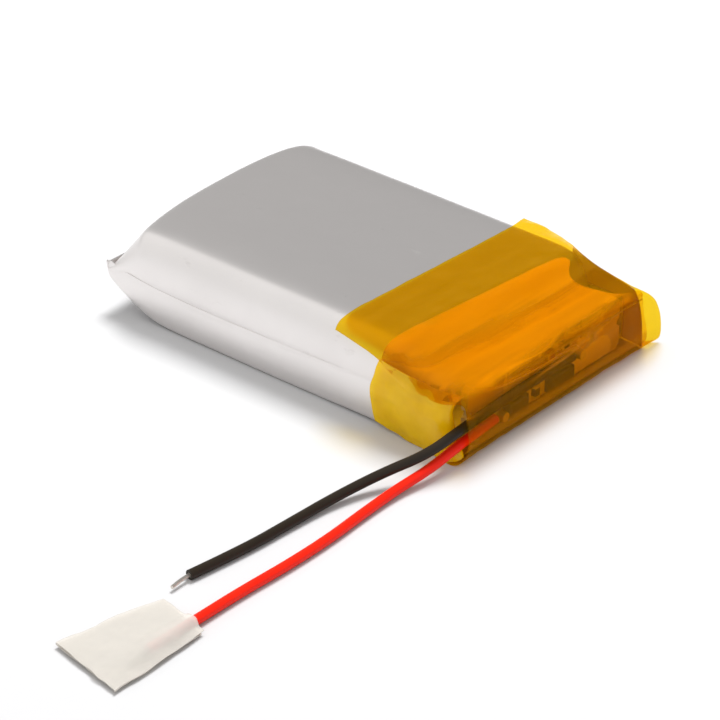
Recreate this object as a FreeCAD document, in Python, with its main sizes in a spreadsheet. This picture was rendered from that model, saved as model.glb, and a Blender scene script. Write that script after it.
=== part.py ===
"""Single-cell lithium-polymer pouch battery with a protection board and two leads.

Frame: millimetres, +Z up.  The origin is the middle of the flat face the pack lies on.
+X runs from the folded end of the pouch to the board end, +Y to the far side, and the
leads leave at the -Y side of the board end.
"""
import FreeCAD
import Part
import math
import os

import Sketcher

V = FreeCAD.Vector
doc = FreeCAD.newDocument("pouch_battery")

# ---------------------------------------------------------------------------
# Driving sizes, in millimetres
# ---------------------------------------------------------------------------
SIZES = {
    # pouch
    "laminate": 0.11,          # aluminium laminate film
    "cell_length": 30.0,       # folded end to the edge of the top seal
    "cell_width": 19.8,        # over the folded-up side seals
    "cell_thickness": 6.5,     # resting face to crown
    "seal_height": 3.2,        # folded-up side seal
    "terrace_length": 2.6,     # top seal that carries the tabs
    "fold_height": 2.4,        # the fold line above the resting face
    "fold_rise": 4.6,          # length of the underside that slopes up to the fold
    "ear_height": 1.3,         # side seal above the fold line at the folded end
    "crown_setback": 1.0,      # crown edge behind the fold line
    "end_draft": 0.9,          # lean of the cup's board-end wall
    "wall_gap": 0.13,          # cup wall to its folded-up seal
    "corner_round": 2.0,       # cup corners seen from above
    "shoulder_round": 1.5,     # cup wall to crown
    # wound electrodes
    "electrode": 0.12,         # coated foil
    "separator": 0.025,
    "layer_gap": 0.005,
    "electrode_margin": 0.5,   # separator beyond the electrodes, both ends together
    "core_radius": 0.15,       # innermost turn
    "roll_clearance": 0.12,    # roll to cup, all round
    "roll_tape_film": 0.04,
    "roll_tape_width": 6.0,
    "roll_tape_margin": 1.0,   # tape short of the roll's ends
    # tabs
    "tab_width": 2.5,
    "tab_foil": 0.1,
    "tab_offset": 4.0,         # tab centres either side of the middle
    "tab_film": 0.04,          # sealing film on each face of a tab
    "tab_film_margin": 0.6,
    "tab_top_gap": 0.4,        # tab's upright leg below the board's top edge
    "paper": 0.06,             # insulating strip on the top seal
    "paper_margin": 1.2,       # strip short of the pouch sides
    # protection board
    "board_zone": 2.0,         # top-seal edge to the outside of the tape
    "board_gap": 0.3,
    "board_inset": 1.7,        # near end of the board inside the pouch's near side
    "board_length": 16.4,
    "board_height": 4.0,
    "board_thickness": 0.6,
    "board_lift": 0.45,
    "board_corner": 0.35,
    "panel_notch": 0.3,        # radius of the bite in each end of the board
    "link_width": 2.2,
    "link_foil": 0.12,
    "link_drop": 1.35,
    "chip_height": 0.75,
    "chip_bevel": 0.12,
    "terminal_size": 0.28,
    "terminal_height": 0.14,
    "terminal_reach": 0.18,
    "top_row_drop": 0.05,      # top row of small parts below the middle of the strip left for it
    "end_cap": 0.2,            # tinned end of a passive part
    "end_cap_step": 0.02,      # end cap above the part's body
    # tape
    "tape_film": 0.06,
    "tape_cover": 11.0,        # outer tape over the crown, measured back from the end
    "inner_cover": 6.4,        # inner tape, likewise
    "tape_edge_height": 4.65,  # top corner of the taped end
    "tape_overhang": 1.4,      # free tape beyond the far side
    "wrap_reach": 7.4,         # near side wrap, measured back from the end
    "end_bevel": 0.3,          # folded corners of the taped end
    "wrap_top": 0.6,           # side wrap above the side seal
    "mouth_depth": 1.0,
    "mouth_bottom": 0.75,
    "mouth_height": 2.6,
    "mouth_reach": 1.5,        # how far the mouth runs along the end
    # leads
    "lead_diameter": 0.7,
    "conductor_diameter": 0.32,
    "bare_tip": 1.7,
    "black_lead_height": 2.4,  # leads' centre lines where they cross the board
    "red_lead_height": 1.3,
    "stub_length": 0.9,        # conductor beyond the sleeve, under the solder
    "solder_setback": 0.6,     # middle of the joint beyond the end of the sleeve
    "solder_foot": 0.5,        # radius on the board
    "solder_tip": 0.34,
    "solder_height": 0.85,
    "flag_thickness": 0.8,
}

sizes = doc.addObject("Spreadsheet::Sheet", "sizes")
for row, (alias, size) in enumerate(SIZES.items(), start=1):
    sizes.set(f"A{row}", alias)
    sizes.set(f"B{row}", str(size))
    sizes.setAlias(f"B{row}", alias)
doc.recompute()


def cell(alias):
    """The number in a named cell of the sheet."""
    return float(getattr(sizes, alias))


def work_out(expression):
    """The number that an expression of the sheet's cells gives now."""
    return float(sizes.evalExpression(expression))


# ---------------------------------------------------------------------------
# Places that several pieces share, as expressions of the sheet
# ---------------------------------------------------------------------------
END_X = "(sizes.cell_length + sizes.board_zone) / 2"
FOLD_X = f"(-{END_X})"
TERRACE_X = f"({FOLD_X} + sizes.cell_length)"
CUP_X = f"({TERRACE_X} - sizes.terrace_length)"
CROWN_X = f"({FOLD_X} + sizes.crown_setback)"
CUP_TOP_X = f"({CUP_X} - sizes.end_draft)"
SLOPE_X = f"({FOLD_X} + sizes.fold_rise)"
TAPE_X = f"({END_X} - sizes.tape_cover)"
INNER_TAPE_X = f"({END_X} - sizes.inner_cover)"
JOGGLE_X = f"({TAPE_X} - 0.5)"
STACK = "(2 * sizes.tape_film)"
HALF_WIDTH = "(sizes.cell_width / 2)"
CUP_HALF_WIDTH = f"({HALF_WIDTH} - 2 * sizes.laminate - sizes.wall_gap)"
SEAL_Z = f"({STACK} + sizes.laminate)"
TAB_Z = f"({SEAL_Z} + sizes.tab_film)"
HUMP_Z = f"({TAB_Z} + sizes.tab_foil + sizes.tab_film)"
BOARD_X = f"({TERRACE_X} + sizes.board_gap)"
BOARD_FACE_X = f"({BOARD_X} + sizes.board_thickness)"
BOARD_TOP_Z = "(sizes.board_lift + sizes.board_height)"
BOARD_NEAR_Y = f"(sizes.board_inset - {HALF_WIDTH})"
BOARD_FAR_Y = f"({BOARD_NEAR_Y} + sizes.board_length)"


# ---------------------------------------------------------------------------
# Small tools
# ---------------------------------------------------------------------------
def new_body(label):
    body = doc.addObject("PartDesign::Body", label)
    body.Label = label
    return body


def new_sketch(body, name, role, offset=None):
    """A sketch on one of the body's own origin planes, moved along its normal."""
    sketch = body.newObject("Sketcher::SketchObject", name)
    plane = [part for part in body.Origin.OriginFeatures if part.Role == role][0]
    sketch.AttachmentSupport = [(plane, "")]
    sketch.MapMode = "FlatFace"
    if offset:
        sketch.setExpression(".AttachmentOffset.Base.z", offset)
    return sketch


def draw_outline(sketch, corners):
    """A closed outline of straight lines whose corners are expressions."""
    first = sketch.GeometryCount
    points = [V(work_out(across), work_out(up), 0) for across, up in corners]
    count = len(points)
    for index, point in enumerate(points):
        following = points[(index + 1) % count]
        sketch.addGeometry(Part.LineSegment(point, following), False)
    for index in range(count):
        following = first + (index + 1) % count
        sketch.addConstraint(Sketcher.Constraint("Coincident", first + index, 2, following, 1))
    for index, corner in enumerate(corners):
        for kind, expression in zip(("DistanceX", "DistanceY"), corner):
            size = work_out(expression)
            rule = Sketcher.Constraint(kind, -1, 1, first + index, 1, size)
            number = sketch.addConstraint(rule)
            sketch.setExpression(f"Constraints[{number}]", expression)


def pad(body, sketch, name, length, middle=False, back=False):
    feature = body.newObject("PartDesign::Pad", name)
    feature.Profile = sketch
    feature.setExpression("Length", length)
    feature.Midplane = middle
    feature.Reversed = back
    doc.recompute()
    return feature


def pocket(body, sketch, name, length, middle=False, back=False):
    before = body.Shape.Volume
    feature = body.newObject("PartDesign::Pocket", name)
    feature.Profile = sketch
    feature.setExpression("Length", length)
    feature.Midplane = middle
    feature.Reversed = back
    doc.recompute()
    if body.Shape.Volume > before - 1e-6:
        raise ValueError(f"{name} cuts nothing")
    return feature


def round_edges(body, base, name, radius, chosen):
    """A fillet on the edges of the base that the test picks."""
    edges = [f"Edge{number}" for number, edge in enumerate(base.Shape.Edges, 1) if chosen(edge)]
    if not edges:
        raise ValueError(f"{name} finds no edge")
    feature = body.newObject("PartDesign::Fillet", name)
    feature.Base = (base, edges)
    feature.setExpression("Radius", radius)
    doc.recompute()
    return feature


def block(name, low, high):
    """A Part box from one corner to the other, both given as expressions."""
    box = doc.addObject("Part::Box", name)
    box.Label = name
    for side, start, stop in zip(("Length", "Width", "Height"), low, high):
        box.setExpression(side, f"({stop}) - ({start})")
    for axis, start in zip("xyz", low):
        box.setExpression(f".Placement.Base.{axis}", start)
    return box


def cut(label, base, tool):
    result = doc.addObject("Part::Cut", label)
    result.Label = label
    result.Base = base
    result.Tool = tool
    return result


def fuse(label, shapes):
    result = doc.addObject("Part::MultiFuse", label)
    result.Label = label
    result.Shapes = shapes
    return result


subparts = []


def keep(piece):
    subparts.append(piece)
    return piece


# ---------------------------------------------------------------------------
# Pouch: one sheet of laminate, folded at the -X end and sealed on three sides
# ---------------------------------------------------------------------------
def underside(layer):
    """Lower line of the sheet, from the board end to the fold, raised by whole layers."""
    lift = f"{layer} * sizes.laminate"
    return [
        (TERRACE_X, f"{STACK} + {lift}"),
        (TAPE_X, f"{STACK} + {lift}"),
        (JOGGLE_X, lift),
        (SLOPE_X, lift),
        (FOLD_X, f"sizes.fold_height + {lift}"),
    ]


def tray_block(name, layer, open_ends):
    """Solid over the sheet's lower line, as wide as the pouch less the layers outside it."""
    body = new_body(name)
    line = underside(layer)
    top = "sizes.seal_height"
    if open_ends:
        line[0] = (f"{TERRACE_X} + 1", line[0][1])
        line.append((f"{FOLD_X} - 1", line[-1][1]))
        corners = line + [(f"{FOLD_X} - 1", f"{top} + 4"), (f"{TERRACE_X} + 1", f"{top} + 4")]
    else:
        ear = (FOLD_X, "sizes.fold_height + sizes.ear_height")
        ear_foot = (f"{FOLD_X} + sizes.fold_rise / 2", top)
        corners = line + [ear, ear_foot, (TERRACE_X, top)]
    sketch = new_sketch(body, f"{name}_side", "XZ_Plane")
    draw_outline(sketch, corners)
    pad(body, sketch, f"{name}_pad", f"2 * ({HALF_WIDTH} - {layer} * sizes.laminate)", middle=True)
    return body


def cup_block(name, inset):
    """The drawn cup as a solid; the inner one is a laminate thickness smaller."""
    wall = f"{inset} * sizes.laminate"
    line = underside(1)
    line[0] = (f"{CUP_X} - {wall}", line[0][1])
    line[-1] = (f"{FOLD_X} + {wall} * 2.5 + 0.02", f"sizes.fold_height + sizes.laminate - {wall} * 0.9")
    foot = (line[-1][0], "sizes.fold_height + 2 * sizes.laminate")
    crown_z = f"sizes.cell_thickness - {wall}"
    corners = line + [foot, (f"{CROWN_X} + {wall}", crown_z), (f"{CUP_TOP_X} - {wall}", crown_z)]
    body = new_body(name)
    sketch = new_sketch(body, f"{name}_side", "XZ_Plane")
    draw_outline(sketch, corners)
    solid = pad(body, sketch, f"{name}_pad", f"2 * ({CUP_HALF_WIDTH} - {wall})", middle=True)
    crown = work_out(crown_z)
    foot_z = work_out(foot[1])
    half = work_out(f"{CUP_HALF_WIDTH} - {wall}")

    def end_corner(edge):
        low, high = sorted(vertex.Z for vertex in edge.Vertexes)
        beside = all(abs(abs(vertex.Y) - half) < 1e-4 for vertex in edge.Vertexes)
        return beside and abs(high - crown) < 1e-4 and low < foot_z + 1e-4

    corners_rounded = round_edges(body, solid, f"{name}_corners", f"sizes.corner_round - {wall}",
                                  end_corner)

    def crown_edge(edge):
        return all(abs(vertex.Z - crown) < 1e-4 for vertex in edge.Vertexes)

    round_edges(body, corners_rounded, f"{name}_shoulder", f"sizes.shoulder_round - {wall}",
                crown_edge)
    return body


lid_outside = tray_block("lid_outside", 0, False)
lid_inside = tray_block("lid_inside", 1, True)
keep(cut("pouch_lid", lid_outside, lid_inside))

seal_outside = tray_block("seal_outside", 1, False)
seal_inside = tray_block("seal_inside", 2, True)
cup_seals = cut("cup_seals", seal_outside, seal_inside)
cup_outside = cup_block("cup_outside", 0)
cup_inside = cup_block("cup_inside", 1)

HUMP_HALF = "(sizes.tab_width / 2 + sizes.tab_film_margin)"
SIDES = {"positive": 1, "negative": -1}
hump_skins = []
hump_hollows = []
for side, sign in SIDES.items():
    middle = f"({sign} * sizes.tab_offset)"
    skin_low = (f"{CUP_X} - 0.3", f"{middle} - {HUMP_HALF} - sizes.laminate", SEAL_Z)
    skin_high = (TERRACE_X, f"{middle} + {HUMP_HALF} + sizes.laminate", f"{HUMP_Z} + sizes.laminate")
    hump_skins.append(block(f"{side}_hump_skin", skin_low, skin_high))
    hollow_low = (f"{CUP_X} - 0.6", f"{middle} - {HUMP_HALF}", f"{SEAL_Z} - 0.02 * sizes.laminate")
    hollow_high = (f"{TERRACE_X} + 1", f"{middle} + {HUMP_HALF}", HUMP_Z)
    hump_hollows.append(block(f"{side}_hump_hollow", hollow_low, hollow_high))
cup_skin = fuse("cup_skin", [cup_outside, cup_seals] + hump_skins)
cup_hollow = fuse("cup_hollow", [cup_inside] + hump_hollows)
keep(cut("pouch_cup", cup_skin, cup_hollow))
doc.recompute()


# ---------------------------------------------------------------------------
# Wound electrodes: four strips rolled flat round a common core, axis along X
# ---------------------------------------------------------------------------
PITCH = 2 * (cell("electrode") + cell("separator")) + 4 * cell("layer_gap")
CAVITY_LOW = work_out(f"{STACK} + 2 * sizes.laminate")
CAVITY_HIGH = work_out("sizes.cell_thickness - sizes.laminate")
ROLL_Z = (CAVITY_LOW + CAVITY_HIGH) / 2
ROLL_HALF_HEIGHT = (CAVITY_HIGH - CAVITY_LOW) / 2 - cell("roll_clearance")
ROLL_HALF_WIDTH = work_out(f"{CUP_HALF_WIDTH} - sizes.laminate - sizes.roll_clearance")
ROLL_START_X = work_out(SLOPE_X)
ROLL_STOP_X = work_out(f"{CUP_TOP_X} - sizes.laminate - sizes.corner_round / 2")
HALF_TURNS = int((ROLL_HALF_HEIGHT - cell("core_radius")) / PITCH * 2) - 1
FLAT_HALF = ROLL_HALF_WIDTH - ROLL_HALF_HEIGHT


def roll_line(first_radius):
    """Edges of a flat spiral: a half circle at each end, a straight run between."""
    edges = []
    radius = first_radius
    for turn in range(HALF_TURNS):
        side = 1 if turn % 2 == 0 else -1
        centre = V(0, side * FLAT_HALF, ROLL_Z + side * PITCH / 4)
        low = centre - V(0, 0, side * radius)
        high = centre + V(0, 0, side * radius)
        outer = centre + V(0, side * radius, 0)
        edges.append(Part.Arc(low, outer, high).toShape())
        if turn < HALF_TURNS - 1:
            edges.append(Part.LineSegment(high, high - V(0, 2 * side * FLAT_HALF, 0)).toShape())
        radius += PITCH / 2
    return edges


def rolled_strip(label, inside, thickness, start, stop):
    """One strip of the roll, from its place above the core and its thickness."""
    near = roll_line(cell("core_radius") + inside)
    far = roll_line(cell("core_radius") + inside + thickness)
    ends = []
    for end in (0, -1):
        first = near[end].Vertexes[0 if end == 0 else -1].Point
        second = far[end].Vertexes[0 if end == 0 else -1].Point
        ends.append(Part.LineSegment(first, second).toShape())
    outline = Part.Wire(Part.__sortEdges__(near + far + ends))
    piece = doc.addObject("Part::Feature", label)
    piece.Label = label
    piece.Shape = Part.Face(outline).extrude(V(stop - start, 0, 0))
    piece.Placement = FreeCAD.Placement(V(start, 0, 0), FreeCAD.Rotation())
    return keep(piece)


electrode_margin = cell("electrode_margin")
inside = 0.0
roll_top = 0.0
for label, layer, margin in (
    ("anode_strip", "electrode", electrode_margin / 2),
    ("separator_inner", "separator", 0.0),
    ("cathode_strip", "electrode", electrode_margin),
    ("separator_outer", "separator", 0.0),
):
    thickness = cell(layer)
    strip = rolled_strip(label, inside, thickness, ROLL_START_X + margin, ROLL_STOP_X - margin)
    inside += thickness + cell("layer_gap")
    roll_top = max(roll_top, strip.Shape.BoundBox.ZMax)


roll_tape = doc.addObject("Part::Feature", "roll_tape")
roll_tape.Label = "roll_tape"
roll_tape_length = ROLL_STOP_X - ROLL_START_X - 2 * cell("roll_tape_margin")
roll_tape_width = cell("roll_tape_width")
roll_tape.Shape = Part.makeBox(roll_tape_length, roll_tape_width, cell("roll_tape_film"))
roll_tape_corner = V(ROLL_START_X + cell("roll_tape_margin"), -roll_tape_width / 2, roll_top)
roll_tape.Placement = FreeCAD.Placement(roll_tape_corner, FreeCAD.Rotation())
keep(roll_tape)

# ---------------------------------------------------------------------------
# Tabs: foil strips from the roll's end, through the top seal, up behind the board
# ---------------------------------------------------------------------------
TAB_START_X = f"({CUP_TOP_X} - sizes.laminate - sizes.corner_round / 2)"
TAB_BEND_X = f"({CUP_TOP_X} - sizes.laminate - 3 * sizes.tab_foil)"
TAB_LEVEL_Z = f"(({STACK} + sizes.laminate + sizes.cell_thickness) / 2)"
TAB_RISE_X = f"({BOARD_X} - sizes.link_foil - sizes.tab_foil)"
for side, sign in SIDES.items():
    body = new_body(f"{side}_tab")
    sketch = new_sketch(body, f"{side}_tab_side", "XZ_Plane", f"{-sign} * sizes.tab_offset")
    foil = "sizes.tab_foil"
    draw_outline(sketch, [
        (TAB_START_X, TAB_LEVEL_Z),
        (TAB_BEND_X, TAB_LEVEL_Z),
        (TAB_BEND_X, TAB_Z),
        (f"{TAB_RISE_X} + {foil}", TAB_Z),
        (f"{TAB_RISE_X} + {foil}", f"{BOARD_TOP_Z} - sizes.tab_top_gap"),
        (TAB_RISE_X, f"{BOARD_TOP_Z} - sizes.tab_top_gap"),
        (TAB_RISE_X, f"{TAB_Z} + {foil}"),
        (f"{TAB_BEND_X} + {foil}", f"{TAB_Z} + {foil}"),
        (f"{TAB_BEND_X} + {foil}", f"{TAB_LEVEL_Z} + {foil}"),
        (TAB_START_X, f"{TAB_LEVEL_Z} + {foil}"),
    ])
    pad(body, sketch, f"{side}_tab_pad", "sizes.tab_width", middle=True)
    keep(body)

for side, sign in SIDES.items():
    middle = f"({sign} * sizes.tab_offset)"
    film_low = (f"{CUP_X} + 0.15", f"{middle} - {HUMP_HALF}", SEAL_Z)
    film_high = (f"{TERRACE_X}", f"{middle} + {HUMP_HALF}", HUMP_Z)
    film = block(f"{side}_film_block", film_low, film_high)
    slot_low = (CUP_X, f"{middle} - sizes.tab_width / 2", TAB_Z)
    slot_high = (f"{TERRACE_X} + 1", f"{middle} + sizes.tab_width / 2", f"{TAB_Z} + sizes.tab_foil")
    keep(cut(f"tab_film_{side}", film, block(f"{side}_film_slot", slot_low, slot_high)))

paper_z = f"{HUMP_Z} + sizes.laminate"
insulator_low = (f"{CUP_X} + 0.25", f"sizes.paper_margin - {HALF_WIDTH}", paper_z)
insulator_high = (f"{TERRACE_X} - 0.1", f"{HALF_WIDTH} - sizes.paper_margin", f"{paper_z} + sizes.paper")
keep(block("terrace_insulator", insulator_low, insulator_high))

# ---------------------------------------------------------------------------
# Protection board on edge, with what is soldered to it
# ---------------------------------------------------------------------------
board = new_body("circuit_board")
outline = new_sketch(board, "board_outline", "YZ_Plane", BOARD_X)
corner = "sizes.board_corner"
draw_outline(outline, [
    (f"{BOARD_NEAR_Y} + {corner}", "sizes.board_lift"),
    (f"{BOARD_FAR_Y} - {corner}", "sizes.board_lift"),
    (BOARD_FAR_Y, f"sizes.board_lift + {corner}"),
    (BOARD_FAR_Y, f"{BOARD_TOP_Z} - {corner}"),
    (f"{BOARD_FAR_Y} - {corner}", BOARD_TOP_Z),
    (f"{BOARD_NEAR_Y} + {corner}", BOARD_TOP_Z),
    (BOARD_NEAR_Y, f"{BOARD_TOP_Z} - {corner}"),
    (BOARD_NEAR_Y, f"sizes.board_lift + {corner}"),
])
pad(board, outline, "board_pad", "sizes.board_thickness")
notches = new_sketch(board, "panel_notches", "YZ_Plane", BOARD_X)
mid_height = "sizes.board_lift + sizes.board_height / 2"
for board_end in (BOARD_NEAR_Y, BOARD_FAR_Y):
    centre = V(work_out(board_end), work_out(mid_height), 0)
    circle = notches.addGeometry(Part.Circle(centre, V(0, 0, 1), cell("panel_notch")), False)
    for kind, expression in (("Radius", "sizes.panel_notch"), ("DistanceX", board_end),
                             ("DistanceY", mid_height)):
        size = work_out(expression)
        if kind == "Radius":
            rule = Sketcher.Constraint(kind, circle, size)
        else:
            rule = Sketcher.Constraint(kind, -1, 1, circle, 3, size)
        notches.setExpression(f"Constraints[{notches.addConstraint(rule)}]", expression)
pocket(board, notches, "panel_notches_cut", "sizes.board_thickness", back=True)
keep(board)

# name: middle from the board's near end, middle Z, width, height
CHIPS = {
    "protection_chip": (4.65, 1.25, 2.0, 1.3),
    "switch_chip": (9.4, 1.25, 2.4, 1.3),
}
TERMINAL_SPREAD = 0.36
terminals = []
for name, (across, up, width, height) in CHIPS.items():
    body = new_body(name)
    face = new_sketch(body, f"{name}_outline", "YZ_Plane", BOARD_FACE_X)
    low_y = f"{BOARD_NEAR_Y} + {across - width / 2}"
    high_y = f"{BOARD_NEAR_Y} + {across + width / 2}"
    low_z, high_z = f"{up - height / 2}", f"{up + height / 2}"
    draw_outline(face, [(low_y, low_z), (high_y, low_z), (high_y, high_z), (low_y, high_z)])
    solid = pad(body, face, f"{name}_pad", "sizes.chip_height")
    outer_x = work_out(f"{BOARD_FACE_X} + sizes.chip_height")
    edges = [f"Edge{number}" for number, edge in enumerate(solid.Shape.Edges, 1)
             if all(abs(vertex.X - outer_x) < 1e-4 for vertex in edge.Vertexes)]
    bevel = body.newObject("PartDesign::Chamfer", f"{name}_bevel")
    bevel.Base = (solid, edges)
    bevel.setExpression("Size", "sizes.chip_bevel")
    doc.recompute()
    keep(body)
    for column in (-1, 0, 1):
        for row, low in (("low", f"{low_z} - sizes.terminal_height"), ("high", high_z)):
            middle = f"{BOARD_NEAR_Y} + {across + column * width * TERMINAL_SPREAD}"
            low_corner = (BOARD_FACE_X, f"{middle} - sizes.terminal_size / 2", low)
            high_corner = (f"{BOARD_FACE_X} + sizes.terminal_reach",
                           f"{middle} + sizes.terminal_size / 2", f"{low} + sizes.terminal_height")
            terminals.append(block(f"{name}_terminal_{column + 1}_{row}", low_corner, high_corner))
chip_terminals = doc.addObject("Part::Compound", "chip_terminals")
chip_terminals.Label = "chip_terminals"
chip_terminals.Links = terminals
keep(chip_terminals)

# The top row of passive parts sits between the black lead and the board's top edge.
# name: middle from the board's near end, middle Z, length along Y, height along Z, stand-off
LEAD_TOP_Z = "(sizes.black_lead_height + sizes.lead_diameter / 2)"
TOP_ROW_Z = work_out(f"({LEAD_TOP_Z} + {BOARD_TOP_Z}) / 2 - sizes.top_row_drop")
PASSIVES = {
    "filter_capacitor": (8.3, TOP_ROW_Z, 1.0, 0.5, 0.5),
    "supply_resistor": (10.1, TOP_ROW_Z, 1.0, 0.5, 0.35),
    "sense_resistor": (7.0, 1.25, 0.5, 1.0, 0.35),
}
ends = []
cap = cell("end_cap")
for name, (across, up, length, height, depth) in PASSIVES.items():
    along_y = length > height
    half_y, half_z = length / 2, height / 2
    core_y = half_y - cap if along_y else half_y
    core_z = half_z if along_y else half_z - cap
    low = (BOARD_FACE_X, f"{BOARD_NEAR_Y} + {across - core_y}", f"{up - core_z}")
    high = (f"{BOARD_FACE_X} + {depth}", f"{BOARD_NEAR_Y} + {across + core_y}", f"{up + core_z}")
    keep(block(name, low, high))
    for sign in (-1, 1):
        end_y = across + sign * (half_y - cap / 2) if along_y else across
        end_z = up if along_y else up + sign * (half_z - cap / 2)
        reach_y = cap / 2 if along_y else half_y
        reach_z = half_z if along_y else cap / 2
        low = (BOARD_FACE_X, f"{BOARD_NEAR_Y} + {end_y - reach_y}", f"{end_z - reach_z}")
        high = (f"{BOARD_FACE_X} + {depth} + sizes.end_cap_step",
                f"{BOARD_NEAR_Y} + {end_y + reach_y}", f"{end_z + reach_z}")
        ends.append(block(f"{name}_end_{sign + 1}", low, high))
passive_terminals = doc.addObject("Part::Compound", "passive_terminals")
passive_terminals.Label = "passive_terminals"
passive_terminals.Links = ends
keep(passive_terminals)

# middle of each link, from the board's near end
LINK_MIDDLES = {"negative": 5.2, "positive": 13.1}
for side, middle in LINK_MIDDLES.items():
    name = f"nickel_link_{side}"
    body = new_body(name)
    sketch = new_sketch(body, f"{name}_side", "XZ_Plane", f"-({BOARD_NEAR_Y} + {middle})")
    foil = "sizes.link_foil"
    drop = f"{BOARD_TOP_Z} - sizes.link_drop"
    draw_outline(sketch, [
        (f"{BOARD_X} - {foil}", drop),
        (BOARD_X, drop),
        (BOARD_X, BOARD_TOP_Z),
        (BOARD_FACE_X, BOARD_TOP_Z),
        (BOARD_FACE_X, drop),
        (f"{BOARD_FACE_X} + {foil}", drop),
        (f"{BOARD_FACE_X} + {foil}", f"{BOARD_TOP_Z} + {foil}"),
        (f"{BOARD_X} - {foil}", f"{BOARD_TOP_Z} + {foil}"),
    ])
    pad(body, sketch, f"{name}_pad", "sizes.link_width", middle=True)
    keep(body)

# ---------------------------------------------------------------------------
# Amber tape: an inner and an outer film, each folded over the board end like a taco
# ---------------------------------------------------------------------------
TAPE_END_Z = "sizes.tape_edge_height"
RIDGE_X = f"({CUP_TOP_X} + 0.05)"


def tape_line(layer, start):
    """Outline of what lies inside a tape layer; layer 0 is the outside of the pack."""
    skin = f"{layer} * sizes.tape_film"
    lift = f"(2 - {layer}) * sizes.tape_film"
    top = f"sizes.cell_thickness + {lift}"
    return [
        (start, skin),
        (f"{END_X} - {skin} - sizes.end_bevel", skin),
        (f"{END_X} - {skin}", f"{skin} + sizes.end_bevel"),
        (f"{END_X} - {skin}", f"{TAPE_END_Z} - {skin} * 1.2 - sizes.end_bevel - 0.05"),
        (f"{END_X} - {skin} - sizes.end_bevel", f"{TAPE_END_Z} - {skin} * 1.1"),
        (RIDGE_X, top),
        (start, top),
    ]


def tape(name, layer, start, near, far, near_wall):
    """A film wrapped round the board end, from one Y to another, with a near side wall."""
    body = new_body(name)
    width = f"({far}) - ({near})"
    outside = new_sketch(body, f"{name}_outside", "XZ_Plane", f"-({near})")
    draw_outline(outside, tape_line(layer, start))
    pad(body, outside, f"{name}_pad", width, back=True)
    hollow_from = f"{near} + sizes.tape_film" if near_wall else f"{near} - 0.1"
    inside = new_sketch(body, f"{name}_inside", "XZ_Plane", f"-({hollow_from})")
    line = tape_line(layer + 1, start)
    line[0] = (f"{start} - 0.5", line[0][1])
    line[-1] = (f"{start} - 0.5", line[-1][1])
    draw_outline(inside, line)
    pocket(body, inside, f"{name}_hollow", f"{width} + 0.2")
    return body


NEAR_Y = f"-({HALF_WIDTH} + sizes.tape_film)"


def open_mouth(body, name):
    """The opening at the near end of the taped end, where the leads come out."""
    outline = new_sketch(body, f"{name}_mouth_outline", "YZ_Plane", f"{END_X} - sizes.mouth_depth")
    bottom, top = "sizes.mouth_bottom", "sizes.mouth_bottom + sizes.mouth_height"
    near, far = f"{NEAR_Y} - 1", f"sizes.mouth_reach - {HALF_WIDTH}"
    draw_outline(outline, [(near, bottom), (far, bottom), (far, top), (near, top)])
    pocket(body, outline, f"{name}_mouth", "sizes.mouth_depth + 1", back=True)


inner_tape = tape("inner_tape", 1, INNER_TAPE_X, f"-{HALF_WIDTH}", HALF_WIDTH, False)
open_mouth(inner_tape, "inner")
keep(inner_tape)

outer_far_y = f"{HALF_WIDTH} + sizes.tape_overhang"
outer_tape = tape("outer_tape", 0, TAPE_X, NEAR_Y, outer_far_y, True)
wrap_x = f"({END_X} - sizes.wrap_reach)"
bare_side = new_sketch(outer_tape, "side_left_bare", "XZ_Plane", f"-({NEAR_Y})")
skin = "sizes.tape_film"
crown_line = "sizes.cell_thickness - 0.2"
draw_outline(bare_side, [
    (f"{TAPE_X} - 1", skin),
    (f"{wrap_x} + 0.5", skin),
    (f"{wrap_x} - 0.4", "sizes.seal_height - sizes.wrap_top"),
    (f"{wrap_x} - 0.1", "sizes.seal_height + sizes.wrap_top"),
    (TAPE_X, crown_line),
    (f"{TAPE_X} - 1", crown_line),
])
pocket(outer_tape, bare_side, "side_left_bare_cut", skin)
open_mouth(outer_tape, "outer")
keep(outer_tape)

# ---------------------------------------------------------------------------
# Leads: fine wire along straight runs joined by arcs, laid from the board to the free end.
# Route points are measured from the bottom near corner of the taped end.
# ---------------------------------------------------------------------------
LEAD_ORIGIN = V(work_out(END_X), -work_out(HALF_WIDTH), 0)
black_height = cell("black_lead_height")
red_height = cell("red_lead_height")
BLACK_ROUTE = [
    (-0.72, 12.4, black_height), (-0.7, 8.6, black_height), (-0.6, 4.4, black_height + 0.02),
    (-0.44, 0.3, black_height),
    (-0.7, -2.9, 1.85), (-2.35, -5.6, 1.0), (-3.3, -9.3, 0.5), (-3.6, -13.4, 0.37),
    (-3.8, -17.4, 0.36), (-4.44, -21.8, 0.36),
]
RED_ROUTE = [
    (-0.72, 4.1, red_height), (-0.52, 2.1, red_height + 0.02), (-0.42, 0.0, red_height),
    (-0.5, -2.9, 0.8),
    (-0.9, -5.7, 0.45), (-0.8, -9.1, 0.37), (-0.5, -13.0, 0.36), (-0.5, -17.1, 0.36),
    (-0.72, -21.2, 0.36), (-0.7, -25.3, 0.4), (-0.76, -29.5, 0.4),
]
ARC_SHARE = 0.45


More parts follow.
